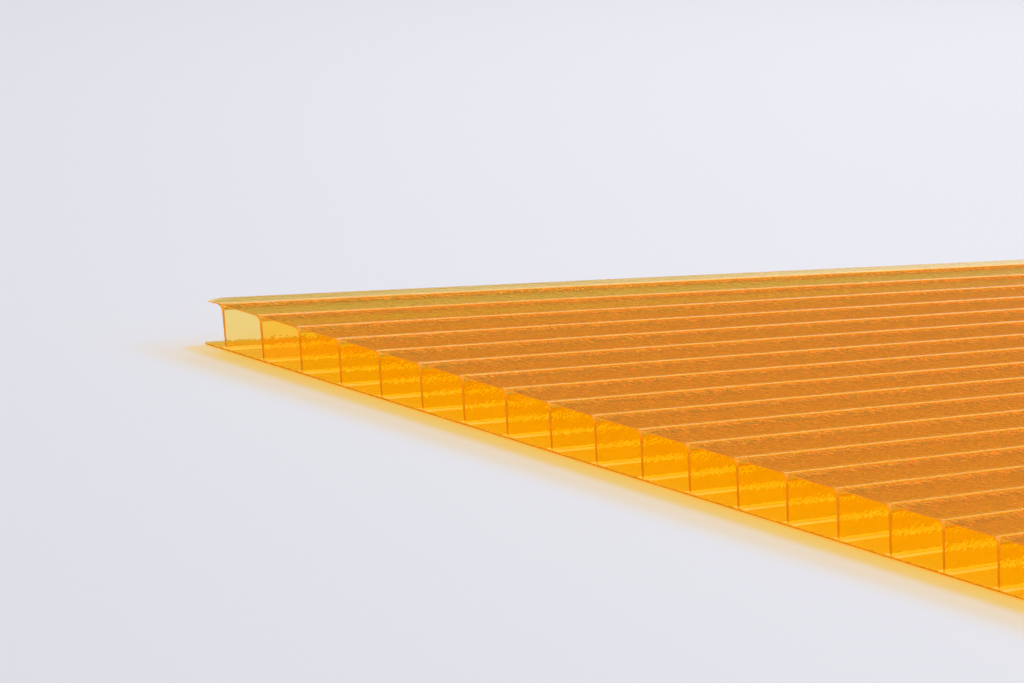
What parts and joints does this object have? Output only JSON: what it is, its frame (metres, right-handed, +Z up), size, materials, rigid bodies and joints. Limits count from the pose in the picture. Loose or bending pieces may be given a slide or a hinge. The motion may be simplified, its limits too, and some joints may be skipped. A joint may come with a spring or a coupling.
{
  "type": "multiwall polycarbonate sheet",
  "caption": "Flat translucent amber twin-wall plastic sheet with open flutes along its length, for glazing, roofing and partitions.",
  "frame": {"origin": "under the middle of the sheet, on its lower face", "axes": "+X along the flutes towards the square-cut end, +Y across the flutes, +Z up out of the upper face"},
  "size_m": [1.22, 0.61, 0.006],
  "materials": {
    "amber_polycarbonate": "gloss"
  },
  "bodies": {
    "root": {"twinwall_sheet": "amber_polycarbonate"}
  },
  "joints": []
}
